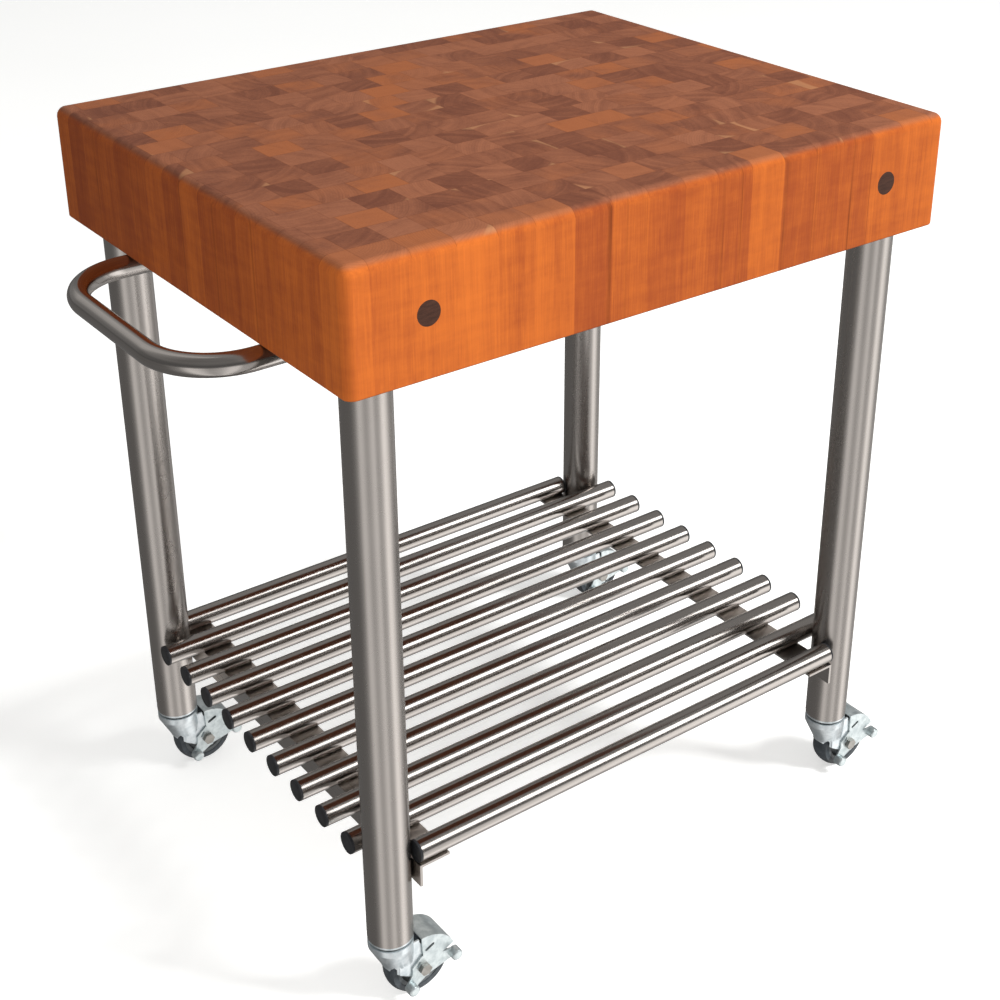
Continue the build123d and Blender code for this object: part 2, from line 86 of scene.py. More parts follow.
# ------------------------------------------------------------------------------ node trees
class Wire:
    """An output socket with ordinary arithmetic on it; each sum adds one Math node."""

    def __init__(self, tree: "Tree", socket: bpy.types.NodeSocket) -> None:
        """Hold a socket and the tree it belongs to."""
        self.tree = tree
        self.socket = socket

    def other(self, name: str) -> "Wire":
        """Another output of the same node."""
        return Wire(self.tree, self.socket.node.outputs[name])

    def __add__(self, value: "Wire | float") -> "Wire":
        """self + value."""
        return self.tree.math("ADD", self, value)

    def __sub__(self, value: "Wire | float") -> "Wire":
        """self - value."""
        return self.tree.math("SUBTRACT", self, value)

    def __rsub__(self, value: "Wire | float") -> "Wire":
        """value - self."""
        return self.tree.math("SUBTRACT", value, self)

    def __mul__(self, value: "Wire | float") -> "Wire":
        """self * value."""
        return self.tree.math("MULTIPLY", self, value)

    def __truediv__(self, value: "Wire | float") -> "Wire":
        """self / value."""
        return self.tree.math("DIVIDE", self, value)

    __radd__ = __add__
    __rmul__ = __mul__

    def size(self) -> "Wire":
        """The value without its sign."""
        return self.tree.math("ABSOLUTE", self)

    def fraction(self) -> "Wire":
        """What is left of the value past its last whole number."""
        return self.tree.math("FRACT", self)

    def rise(self, low: float, high: float) -> "Wire":
        """A smooth step from 0 at low to 1 at high."""
        return self.tree.node(
            "ShaderNodeMapRange",
            {"interpolation_type": "SMOOTHSTEP"},
            {"Value": self, "From Min": low, "From Max": high},
        )


class Tree:
    """A node tree that is filled by calls, one for each node."""

    def __init__(self, nodes: bpy.types.NodeTree) -> None:
        """Take over an empty node tree."""
        self.nodes = nodes

    def node(self, kind: str, settings: dict[str, Any] | None = None,
             sockets: dict[str | int, Any] | None = None, output: int = 0) -> Wire:
        """Add a node.

        Args:
            kind: the node's type.
            settings: its own properties, set first; "stops" are a colour ramp's places and colours.
            sockets: the value or the wire of each input, by name or by number.
            output: which of its outputs to return.

        Returns:
            The chosen output.
        """
        made = self.nodes.nodes.new(kind)
        for name, value in (settings or {}).items():
            if name == "stops":
                for place, colour in value[: len(value) - 2]:
                    made.color_ramp.elements.new(place)
                for element, (place, colour) in zip(made.color_ramp.elements, value):
                    element.position = place
                    element.color = colour
            else:
                setattr(made, name, value)
        for name, value in (sockets or {}).items():
            if isinstance(value, Wire):
                self.nodes.links.new(value.socket, made.inputs[name])
            else:
                made.inputs[name].default_value = value
        socket = made.outputs[output] if made.outputs else made.inputs[0]
        return Wire(self, socket)

    def math(self, operation: str, *values: Wire | float) -> Wire:
        """Add a Math node on one or two values."""
        return self.node("ShaderNodeMath", {"operation": operation}, dict(enumerate(values)))

    def vector(self, operation: str, *values: Any, output: int = 0) -> Wire:
        """Add a Vector Math node; output 1 is the number of a length or a dot product."""
        sockets = dict(enumerate(values))
        return self.node("ShaderNodeVectorMath", {"operation": operation}, sockets, output)


class Shading(Tree):
    """A material's or the world's shader, with the textures that the finishes share."""

    def mix(self, share: Wire | float, low: Any, high: Any) -> Wire:
        """Mix two colours."""
        return self.node("ShaderNodeMix", {"data_type": "RGBA"}, {0: share, 6: low, 7: high}, 2)

    def coordinate(self, name: str) -> Wire:
        """One of the Texture Coordinate outputs: Object or Normal."""
        return self.node("ShaderNodeTexCoord").other(name)

    def attribute(self, name: str, output: str = "Fac") -> Wire:
        """An attribute that is stored in the mesh."""
        return self.node("ShaderNodeAttribute", {"attribute_name": name}).other(output)

    def axis(self, vector: Wire, name: str) -> Wire:
        """One part of a vector: X, Y or Z."""
        return self.node("ShaderNodeSeparateXYZ", sockets={"Vector": vector}).other(name)

    def noise(self, vector: Wire, scale: tuple[float, float, float], detail: float = 2.0,
              roughness: float = 0.5) -> Wire:
        """Cloudy noise from 0 to 1 with its own scale on each axis, per metre."""
        stretched = self.vector("MULTIPLY", vector, scale)
        return self.node(
            "ShaderNodeTexNoise",
            sockets={"Vector": stretched, "Scale": 1.0, "Detail": detail, "Roughness": roughness},
        )

    def bump(self, height: Wire, distance: float, strength: float = 1.0) -> Wire:
        """A Bump node on a height from 0 to 1."""
        return self.node(
            "ShaderNodeBump", sockets={"Height": height, "Distance": distance, "Strength": strength}
        )

    def surface(self, sockets: dict[str, Any]) -> None:
        """Finish a material with a Principled shader."""
        shader = self.node("ShaderNodeBsdfPrincipled", sockets=sockets)
        self.node("ShaderNodeOutputMaterial", sockets={"Surface": shader})


class Growing(Tree):
    """A Geometry Nodes tree with named inputs, run once on an object."""

    def __init__(self, name: str) -> None:
        """Start a tree with a geometry input and output.

        Args:
            name: the tree's name.
        """
        super().__init__(bpy.data.node_groups.new(name, "GeometryNodeTree"))
        for side in ("INPUT", "OUTPUT"):
            self.nodes.interface.new_socket(
                "Geometry", in_out=side, socket_type="NodeSocketGeometry"
            )
        self.given = self.nodes.nodes.new("NodeGroupInput")

    def input(self, name: str, kind: str) -> Wire:
        """Add a named input; kind is Float, Int, Object or Material."""
        self.nodes.interface.new_socket(name, in_out="INPUT", socket_type=f"NodeSocket{kind}")
        return Wire(self, self.given.outputs[name])

    def finish(self, geometry: Wire, material: Wire) -> None:
        """End the tree in Realize Instances and Set Material.

        Args:
            geometry: what the tree has made.
            material: the material that it takes.
        """
        real = self.node("GeometryNodeRealizeInstances", sockets={"Geometry": geometry})
        dressed = self.node(
            "GeometryNodeSetMaterial", sockets={"Geometry": real, "Material": material}
        )
        self.node("NodeGroupOutput", sockets={"Geometry": dressed})

    def run(self, seed: bpy.types.Object, name: str, values: dict[str, Any]) -> bpy.types.Object:
        """Run the tree on an object and keep only the mesh it makes.

        Args:
            seed: the object that the tree starts from; it is removed.
            name: the name of the finished piece.
            values: the tree's inputs by name.

        Returns:
            The finished piece, at the origin.
        """
        modifier = seed.modifiers.new("grow", "NODES")
        modifier.node_group = self.nodes
        for item in self.nodes.interface.items_tree:
            if item.in_out == "INPUT" and item.name in values:
                modifier[item.identifier] = values[item.name]
        return settle(seed, name)


# ------------------------------------------------------------------------------ meshes
def settle(source: bpy.types.Object, name: str) -> bpy.types.Object:
    """Turn an object with modifiers into a plain mesh object at the origin.

    Args:
        source: the object with its modifiers; it is removed.
        name: the name of the plain object.

    Returns:
        The plain object.
    """
    graph = bpy.context.evaluated_depsgraph_get()
    mesh = bpy.data.meshes.new_from_object(source.evaluated_get(graph), depsgraph=graph)
    mesh.name = name
    piece = bpy.data.objects.new(name, mesh)
    bpy.context.scene.collection.objects.link(piece)
    bpy.data.objects.remove(source)
    return piece


def placed(name: str, data: Any) -> bpy.types.Object:
    """Put an object's data into the scene at the origin.

    Args:
        name: the object's name.
        data: its mesh, curve, light or camera.

    Returns:
        The new object.
    """
    made = bpy.data.objects.new(name, data)
    bpy.context.scene.collection.objects.link(made)
    return made


def merged_copy(node: str) -> bmesh.types.BMesh:
    """Copy a CAD node's mesh with its loose triangles joined and its flat faces made whole.

    Args:
        node: the CAD node.

    Returns:
        The joined mesh, for the caller to free.
    """
    work = bmesh.new()
    work.from_mesh(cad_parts[node].data)
    bmesh.ops.remove_doubles(work, verts=work.verts[:], dist=LOOSE_GAP)
    bmesh.ops.dissolve_limit(
        work, angle_limit=FLAT_WITHIN, verts=work.verts[:], edges=work.edges[:]
    )
    return work


def lathe(name: str, outline: list[tuple[float, float]], sides: int) -> bpy.types.Object:
    """Turn an outline of radius and height about +Z.

    Args:
        name: the object's name.
        outline: radius and height of each corner, from the bottom centre round to the top centre.
        sides: how many flats there are round the axis.

    Returns:
        The closed turned shape.
    """
    work = bmesh.new()
    line = [work.verts.new((radius, 0.0, height)) for radius, height in outline]
    edges = [work.edges.new(pair) for pair in zip(line, line[1:])]
    bmesh.ops.spin(
        work, geom=line + edges, cent=(0, 0, 0), axis=(0, 0, 1),
        angle=math.tau, steps=sides, use_merge=True,
    )
    bmesh.ops.remove_doubles(work, verts=work.verts[:], dist=SPUN_GAP)
    bmesh.ops.recalc_face_normals(work, faces=work.faces[:])
    mesh = bpy.data.meshes.new(name)
    work.to_mesh(mesh)
    work.free()
    mesh.shade_smooth()
    mesh.set_sharp_from_angle(angle=SHARP_PAST)
    return placed(name, mesh)


def eased_copy(node: str, name: str, easing: float) -> bpy.types.Object:
    """Copy a CAD node and round its sharp edges.

    Args:
        node: the CAD node.
        name: the finished piece's name.
        easing: how much is taken off each edge.

    Returns:
        The piece, a plain mesh.
    """
    work = merged_copy(node)
    mesh = bpy.data.meshes.new(name)
    work.to_mesh(mesh)
    work.free()
    mesh.shade_smooth()
    mesh.set_sharp_from_angle(angle=SHARP_PAST)
    piece = placed(name + "_blank", mesh)
    bevel = piece.modifiers.new("easing", "BEVEL")
    bevel.width = easing
    bevel.segments = 2
    bevel.limit_method = "ANGLE"
    bevel.angle_limit = SHARP_PAST
    weighted = piece.modifiers.new("normals", "WEIGHTED_NORMAL")
    weighted.keep_sharp = True
    return settle(piece, name)


# ------------------------------------------------------------------------------ finishes
def new_material(name: str) -> tuple[bpy.types.Material, Shading]:
    """Make an empty material and the shading that fills it.

    Args:
        name: the material's name.

    Returns:
        The material and its shading.
    """
    material = bpy.data.materials.new(name)
    material.use_nodes = True
    material.node_tree.nodes.clear()
    return material, Shading(material.node_tree)


@dataclass(frozen=True)
class Grain:
    """What the wood does at each place: its distance from the pith, and the rest from 0 to 1."""

    across: Wire
    late: Wire
    season: Wire
    fibre: Wire
    figure: Wire
    pore: Wire
    cloud: Wire


@dataclass(frozen=True)
class OiledCherry:
    """Oiled cherry staves: vivid long grain on the sides and duller end grain on top."""

    name: str = "oiled_cherry"
    long_dark: str = "954624"
    long_light: str = "CA6B2C"
    long_streak: str = "5E2814"
    end_dark: str = "794836"
    end_light: str = "AA6C4E"
    end_warm: str = "BA6A38"
    sapwood: str = "CC9468"
    ring_gap: float = 0.0027
    wander: float = 0.009
    sap_edge: float = 0.004
    glue_core: float = 0.0001
    glue_edge: float = 0.0007
    relief: float = 0.00012

    def grain(self, tree: Shading, place: Wire, age: Wire) -> Grain:
        """Lay the year rings, fibres, figure and pores.

        Args:
            tree: the material's shading.
            place: the place on the block.
            age: a number from 0 to 1 that sets each stave's rings apart.

        Returns:
            The grain at each place.
        """
        pith = tree.attribute("stave_pith", "Vector")
        sway = tree.noise(place, (16.0, 16.0, 2.5), 2.0)
        apart = tree.vector("MULTIPLY", tree.vector("SUBTRACT", place, pith), (1.0, 1.0, 0.0))
        across = tree.vector("LENGTH", apart, output=1) + (sway - 0.5) * self.wander
        year = (across / self.ring_gap + age * 17.0).fraction()
        season = tree.node(
            "ShaderNodeTexNoise", {"noise_dimensions": "1D"},
            {"W": across * 95.0 + age * 61.0, "Scale": 1.0, "Detail": 3.0, "Roughness": 0.6},
        )
        return Grain(
            across=across,
            late=year.rise(0.45, 0.92) * (1.0 - year.rise(0.94, 1.0)),
            season=season,
            fibre=tree.noise(place, (1100.0, 1100.0, 16.0), 3.0, 0.6),
            figure=tree.noise(place, (60.0, 60.0, 7.0), 3.0, 0.6),
            pore=tree.noise(place, (1500.0, 1500.0, 60.0), 1.0).rise(0.60, 0.74),
            cloud=tree.noise(place, (28.0, 28.0, 28.0), 3.0),
        )

    def long_grain(self, tree: Shading, place: Wire, share: Wire, grain: Grain) -> Wire:
        """Colour the sides, where the fibres lie along the face.

        Args:
            tree: the material's shading.
            place: the place on the block.
            share: how light each stave is, from 0 to 1.
            grain: the grain at each place.

        Returns:
            The sides' colour.
        """
        curl = tree.noise(place, (24.0, 24.0, 85.0), 3.0, 0.6)
        thread = tree.noise(place, (420.0, 420.0, 22.0), 4.0, 0.7)
        warm = share * 0.44 + grain.season * 0.40
        warm = warm + (grain.fibre - 0.5) * 0.30 + (grain.figure - 0.5) * 0.55
        warm = warm + (curl - 0.5) * 0.45 + (thread - 0.5) * 0.65 + 0.05
        colour = tree.mix(warm.rise(0.0, 1.0), tone(self.long_dark), tone(self.long_light))
        ring = grain.late * thread.rise(0.40, 0.70) * 0.16
        colour = tree.mix(ring, colour, tone(self.long_streak))
        streak = grain.season.rise(0.56, 0.74) * (1.0 - share.rise(0.25, 0.75))
        streak = streak * grain.figure.rise(0.25, 0.6)
        return tree.mix(streak * 0.70, colour, tone(self.long_streak))

    def end_grain(self, tree: Shading, place: Wire, share: Wire, age: Wire, grain: Grain) -> Wire:
        """Colour the top, where the fibres stand on end.

        Args:
            tree: the material's shading.
            place: the place on the block.
            share: how light each stave is, from 0 to 1.
            age: a number from 0 to 1 that sets each stave's rings apart.
            grain: the grain at each place.

        Returns:
            The top's colour.
        """
        fleck = tree.noise(place, (260.0, 260.0, 260.0), 4.0, 0.7)
        dull = share * 0.62 + (grain.season - 0.5) * 0.7 + (grain.cloud - 0.5) * 0.70
        dull = dull + (fleck - 0.5) * 0.55 + 0.22
        colour = tree.mix(dull.rise(0.0, 1.0), tone(self.end_dark), tone(self.end_light))
        amber = age.rise(0.35, 1.0) * (grain.cloud + share - 0.5).rise(0.2, 0.9)
        colour = tree.mix(amber * 0.6, colour, tone(self.end_warm))
        colour = tree.mix(grain.late * 0.22, colour, tone(self.end_dark))
        return tree.mix(grain.pore * 0.35, colour, tone(self.long_streak))

    def glue_line(self, tree: Shading, place: Wire, facing: Wire) -> Wire:
        """Find the thin lines where staves meet on the top and the underside.

        Args:
            tree: the material's shading.
            place: the place on the block.
            facing: how far the face looks up or down, from 0 to 1.

        Returns:
            1 on a line and 0 off it.
        """
        middle = tree.attribute("stave_middle", "Vector")
        half = tree.attribute("stave_half", "Vector")
        aside = tree.vector("ABSOLUTE", tree.vector("SUBTRACT", place, middle))
        reach = tree.vector("SUBTRACT", half, aside)
        near = tree.math("MINIMUM", tree.axis(reach, "X"), tree.axis(reach, "Y"))
        return (1.0 - near.rise(self.glue_core, self.glue_edge)) * facing.rise(0.2, 0.5)

    def make(self) -> bpy.types.Material:
        """Build the material, which reads the stave attributes of the block's mesh.

        Returns:
            The material.
        """
        material, tree = new_material(self.name)
        place = tree.coordinate("Object")
        facing = tree.axis(tree.coordinate("Normal"), "Z").size()
        share = tree.attribute("stave_tone")
        age = tree.attribute("stave_age")
        end = facing.rise(0.5, 0.95)
        grain = self.grain(tree, place, age)
        sides = self.long_grain(tree, place, share, grain)
        top = self.end_grain(tree, place, share, age, grain)
        pale = (grain.across - tree.attribute("stave_sap")).rise(0.0, self.sap_edge) * end
        glue = self.glue_line(tree, place, facing)
        open_pore = grain.pore * end

        colour = tree.mix(end, sides, top)
        colour = tree.mix(pale * 0.45, colour, tone(self.sapwood))
        colour = tree.mix(glue * 0.35, colour, tone(self.long_streak))
        rough = 0.50 + (grain.fibre - 0.5) * 0.14 + (grain.cloud - 0.5) * 0.12
        height = grain.fibre * 0.5 - open_pore * 0.5 - grain.late * 0.2 - glue * 0.6
        tree.surface({
            "Base Color": colour,
            "Roughness": rough + open_pore * 0.15,
            "Normal": tree.bump(height, self.relief, 0.6),
            "Specular IOR Level": 0.09,
            "Coat Weight": 0.015,
            "Coat Roughness": 0.35,
        })
        return material


class Brushing(Enum):
    """Which way the brushing of a steel piece runs, as a scale on each axis per metre."""

    ALONG_X = (5.0, 900.0, 900.0)
    ALONG_Y = (900.0, 5.0, 900.0)
    ALONG_Z = (900.0, 900.0, 5.0)
    ROUND_Z = (40.0, 40.0, 1400.0)
    PATH = (900.0, 900.0, 5.0)


@dataclass(frozen=True)
class BrushedSteel:
    """Stainless steel with fine lines of brushing, faint clouds and handling marks."""

    name: str
    brushing: Brushing
    light: str = "CCC7C3"
    dark: str = "A6A19C"
    roughness: float = 0.24
    depth: float = 0.00002

    def make(self) -> bpy.types.Material:
        """Build the material; a tube along a path reads its own "brush" attribute.

        Returns:
            The material.
        """
        material, tree = new_material(self.name)
        place = tree.coordinate("Object")
        if self.brushing is Brushing.PATH:
            brush = tree.attribute("brush", "Vector")
        else:
            brush = place
        line = tree.noise(brush, self.brushing.value, 3.0, 0.65)
        cloud = tree.noise(place, (14.0, 14.0, 9.0), 3.0, 0.55)
        mark = tree.noise(place, (230.0, 230.0, 90.0), 2.0).rise(0.62, 0.80)
        colour = tree.mix(line * 0.7 + cloud * 0.3, tone(self.dark), tone(self.light))
        rough = self.roughness + (line - 0.5) * 0.12 + (cloud - 0.5) * 0.06 + mark * 0.03
        tree.surface({
            "Base Color": colour,
            "Metallic": 1.0,
            "Roughness": rough,
            "Normal": tree.bump(line, self.depth, 0.5),
        })
        return material


@dataclass(frozen=True)
class ZincPlate:
    """Bright zinc plate over pressed steel, cool in colour and a little cloudy."""

    name: str = "bright_zinc"
    light: str = "EFF6F9"
    dark: str = "D3DDE1"

    def make(self) -> bpy.types.Material:
        """Build the material.

        Returns:
            The material.
        """
        material, tree = new_material(self.name)
        place = tree.coordinate("Object")
        cloud = tree.noise(place, (110.0, 110.0, 110.0), 4.0, 0.6)
        grain = tree.noise(place, (1500.0, 1500.0, 1500.0), 2.0)
        worn = tree.noise(place, (420.0, 420.0, 420.0), 2.0).rise(0.58, 0.72)
        colour = tree.mix(cloud.rise(0.3, 0.7), tone(self.dark), tone(self.light))
        tree.surface({
            "Base Color": colour,
            "Metallic": 0.78,
            "Roughness": 0.32 + (cloud - 0.5) * 0.12 + worn * 0.06 + (grain - 0.5) * 0.06,
            "Normal": tree.bump(grain, 0.00002, 0.3),
        })
        return material


@dataclass(frozen=True)
class PlainSteel:
    """Plain turned steel for screws, nuts, bolts and balls."""

    name: str = "plain_steel"
    light: str = "BDBBB6"
    dark: str = "85827C"

    def make(self) -> bpy.types.Material:
        """Build the material.

        Returns:
            The material.
        """
        material, tree = new_material(self.name)
        place = tree.coordinate("Object")
        turned = tree.noise(place, (700.0, 700.0, 2600.0), 2.0)
        cloud = tree.noise(place, (160.0, 160.0, 160.0), 3.0)
        tree.surface({
            "Base Color": tree.mix(cloud, tone(self.dark), tone(self.light)),
            "Metallic": 1.0,
            "Roughness": 0.32 + (turned - 0.5) * 0.18,
            "Normal": tree.bump(turned, 0.00003, 0.5),
        })
        return material


@dataclass(frozen=True)
class Moulding:
    """Moulded plastic or rubber: fine texture, faint clouds and a scuffed sheen.

    The grain is a number to the metre, and the depth is its height in metres.
    """

    name: str
    light: str
    dark: str
    roughness: float
    grain: float
    depth: float
    scuff: float = 0.10
    scuffed: str = "9A9C9C"

    def make(self) -> bpy.types.Material:
        """Build the material.

        Returns:
            The material.
        """
        material, tree = new_material(self.name)
        place = tree.coordinate("Object")
        grain = tree.noise(place, (self.grain,) * 3, 2.0, 0.6)
        cloud = tree.noise(place, (90.0, 90.0, 90.0), 3.0, 0.6)
        scuff = tree.noise(place, (260.0, 700.0, 260.0), 3.0, 0.7).rise(0.56, 0.75)
        colour = tree.mix(cloud.rise(0.25, 0.75), tone(self.dark), tone(self.light))
        colour = tree.mix(scuff * self.scuff, colour, tone(self.scuffed))
        tree.surface({
            "Base Color": colour,
            "Roughness": self.roughness + (cloud - 0.5) * 0.12 + scuff * 0.12,
            "Normal": tree.bump(grain, self.depth, 0.6),
            "Specular IOR Level": 0.45,
        })
        return material


@dataclass(frozen=True)
class PlugWood:
    """Dark brown end-grain plug, with fine pores and faint rings."""

    name: str = "dark_plug"
    light: str = "4C3126"
    dark: str = "2C1B14"

    def make(self) -> bpy.types.Material:
        """Build the material.

        Returns:
            The material.
        """
        material, tree = new_material(self.name)
        place = tree.coordinate("Object")
        pore = tree.noise(place, (1700.0, 200.0, 1700.0), 2.0)
        ring = tree.noise(place, (60.0, 20.0, 420.0), 2.0)
        share = pore * 0.6 + ring * 0.4
        tree.surface({
            "Base Color": tree.mix(share.rise(0.3, 0.7), tone(self.dark), tone(self.light)),
            "Roughness": 0.52 + (pore - 0.5) * 0.2,
            "Normal": tree.bump(pore, 0.00008, 0.6),
            "Specular IOR Level": 0.2,
        })
        return material


class Finishes:
    """Every finish on the table, made once."""

    def __init__(self) -> None:
        """Make the materials."""
        self.cherry = OiledCherry().make()
        self.plug = PlugWood().make()
        self.leg_steel = BrushedSteel("leg_steel", Brushing.ALONG_Z, roughness=0.27).make()
        self.shelf_steel = BrushedSteel("shelf_steel", Brushing.ALONG_X, roughness=0.20).make()
        self.rail_steel = BrushedSteel("rail_steel", Brushing.ALONG_Y, roughness=0.30).make()
        self.plate_steel = BrushedSteel("plate_steel", Brushing.ROUND_Z, roughness=0.30).make()
        self.handle_steel = BrushedSteel("handle_steel", Brushing.PATH, roughness=0.16).make()
        self.zinc = ZincPlate().make()
        self.fastener = PlainSteel().make()
        self.cap = Moulding("cap_plastic", "2E2F32", "191A1C", 0.45, 900.0, 0.00008).make()
        self.tyre = Moulding("tyre_rubber", "50565B", "3A4044", 0.46, 700.0, 0.00010, 0.25).make()
        self.hub = Moulding("hub_plastic", "7C8081", "5C6062", 0.40, 900.0, 0.00006).make()
        self.pedal = ZincPlate("pedal_plate", "E6EFF0", "C2CDCF").make()


def dress(material: bpy.types.Material, *nodes: str) -> None:
    """Give CAD nodes that keep their shape a better material.

    Args:
        material: the better material.
        nodes: the CAD nodes.
    """
    for node in nodes:
        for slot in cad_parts[node].material_slots:
            slot.material = material
        LOG.info("%s dressed in %s", node, material.name)


def stand_in(piece: bpy.types.Object, body: str, slot: str, *nodes: str) -> None:
    """Hang a finished piece on a body in place of CAD nodes.

    Args:
        piece: the finished piece.
        body: the body that it moves with.
        slot: the name of a material slot; not used.
        nodes: the CAD nodes that it stands for.
    """
    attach(piece, body)
    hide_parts(*nodes)
    faces = len(piece.data.polygons)
    LOG.info("%s: %d faces on %s, for %s", piece.name, faces, body, ", ".join(nodes))


# ------------------------------------------------------------------------------ block
@dataclass(frozen=True)
class Stave:
    """One stave of the block: where it lies along its row, and what its wood is like."""

    low: float
    high: float
    tone: float
    age: float
    pith: Vector
    sap: float


@dataclass
class ButcherBlock:
    """The block, one skin divided where its end-grain staves meet."""

    finishes: Finishes
    rows: int = 16
    stave_width: float = 0.0445
    width_spread: float = 0.0026
    least_width: float = 0.012
    overrun: float = 0.02
    first_cut: tuple[float, float] = (0.2, 0.9)
    pith_reach: tuple[float, float] = (0.035, 0.11)
    sap_depth: tuple[float, float] = (0.014, 0.024)
    sap_share: float = 0.18
    tone_spread: float = 1.6
    cut_gap: float = 1e-7
    seam_gap: float = 1e-6
    inward: float = 1e-5
    sharp_past: float = math.radians(40)
    seed: int = 509436

    def row_staves(self, row: int, low: Vector, high: Vector) -> list[Stave]:
        """Lay the staves of one row from end to end.

        Args:
            row: the row's number, counted from the front.
            low: the block's lowest corner.
            high: the block's highest corner.

        Returns:
            The staves in order along +X.
        """
        dice = random.Random(self.seed * 100 + row)
        depth = (high.y - low.y) / self.rows
        middle_y = low.y + depth * (row + 0.5)
        edge = low.x - dice.uniform(*self.first_cut) * self.stave_width
        staves = []
        while edge < high.x:
            width = dice.gauss(self.stave_width, self.width_spread)
            if high.x - (edge + width) < self.least_width:
                width = high.x + self.overrun - edge
            turn = dice.uniform(0, math.tau)
            reach = dice.uniform(*self.pith_reach)
            middle = Vector((edge + width / 2, middle_y, 0))
            pith = middle + Vector((math.cos(turn), math.sin(turn), 0)) * reach
            has_sap = dice.random() < self.sap_share
            sap = reach + (dice.uniform(*self.sap_depth) if has_sap else 1.0)
            light = dice.betavariate(self.tone_spread, self.tone_spread)
            staves.append(Stave(edge, edge + width, light, dice.random(), pith, sap))
            edge += width
        return staves

    def divide(self, work: bmesh.types.BMesh, layout: list[list[Stave]], low: Vector,
               depth: float) -> None:
        """Cut the block's skin along every glue line, between the rows and then between the staves.

        Args:
            work: the block's skin.
            layout: the staves of each row.
            low: the block's lowest corner.
            depth: the depth of a row.
        """
        for row in range(1, self.rows):
            everything = work.verts[:] + work.edges[:] + work.faces[:]
            bmesh.ops.bisect_plane(
                work, geom=everything, plane_co=(0, low.y + depth * row, 0), plane_no=(0, 1, 0),
                dist=self.cut_gap,
            )
        for row, staves in enumerate(layout):
            front = low.y + depth * row - self.seam_gap
            back = low.y + depth * (row + 1) + self.seam_gap
            for stave in staves[1:]:
                mine = [f for f in work.faces if front < f.calc_center_median().y < back]
                edges = {e for f in mine for e in f.edges}
                verts = {v for f in mine for v in f.verts}
                bmesh.ops.bisect_plane(
                    work, geom=[*verts, *edges, *mine], plane_co=(stave.low, 0, 0),
                    plane_no=(1, 0, 0), dist=self.cut_gap,
                )

    def build(self) -> None:
        """Divide the skin into staves, mark each face with its stave, and dress the rods."""
        low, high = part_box("butcher_block")
        depth = (high.y - low.y) / self.rows
        layout = [self.row_staves(row, low, high) for row in range(self.rows)]
        work = merged_copy("butcher_block")
        self.divide(work, layout, low, depth)
        mesh = bpy.data.meshes.new("butcher_block_blank")
        work.to_mesh(mesh)
        work.free()
        self.mark(mesh, layout, low, depth)
        mesh.shade_smooth()
        mesh.set_sharp_from_angle(angle=self.sharp_past)
        blank = placed("butcher_block_blank", mesh)
        mesh.materials.append(self.finishes.cherry)
        weighted = blank.modifiers.new("normals", "WEIGHTED_NORMAL")
        weighted.keep_sharp = True
        stand_in(settle(blank, "butcher_block_staves"), "table", "cherry_wood", "butcher_block")
        dress(self.finishes.plug, "rod_plugs")
        dress(self.finishes.fastener, "tie_rods", "tie_rod_washers", "tie_rod_nuts")

    def mark(self, mesh: bpy.types.Mesh, layout: list[list[Stave]], low: Vector,
             depth: float) -> None:
        """Store each face's stave in the mesh.

        Args:
            mesh: the divided skin.
            layout: the staves of each row.
            low: the block's lowest corner.
            depth: the depth of a row.
        """
        values: dict[str, list[float]] = {name: [] for name in STAVE_MARKS}
        for face in mesh.polygons:
            inside = face.center - face.normal * self.inward
            row = min(self.rows - 1, max(0, int((inside.y - low.y) / depth)))
            stave = next((s for s in layout[row] if inside.x < s.high), layout[row][-1])
            middle_y = low.y + depth * (row + 0.5)
            values["stave_tone"].append(stave.tone)
            values["stave_age"].append(stave.age)
            values["stave_sap"].append(stave.sap)
            values["stave_pith"].extend(stave.pith)
            values["stave_middle"].extend(((stave.low + stave.high) / 2, middle_y, inside.z))
            values["stave_half"].extend(((stave.high - stave.low) / 2, depth / 2, 1.0))
        for name, kind in STAVE_MARKS.items():
            attribute = mesh.attributes.new(name, kind, "FACE")
            attribute.data.foreach_set("value" if kind == "FLOAT" else "vector", values[name])


# ------------------------------------------------------------------------------ legs and handle
@dataclass
class Legs:
    """Four tube legs under their flanges."""

    finishes: Finishes

    def build(self) -> None:
        """Dress the legs, flanges and their screws."""
        dress(self.finishes.leg_steel, *(f"leg_{corner}" for corner in CORNERS))
        dress(self.finishes.plate_steel, "leg_plates")
        dress(self.finishes.fastener, "leg_plate_screws")


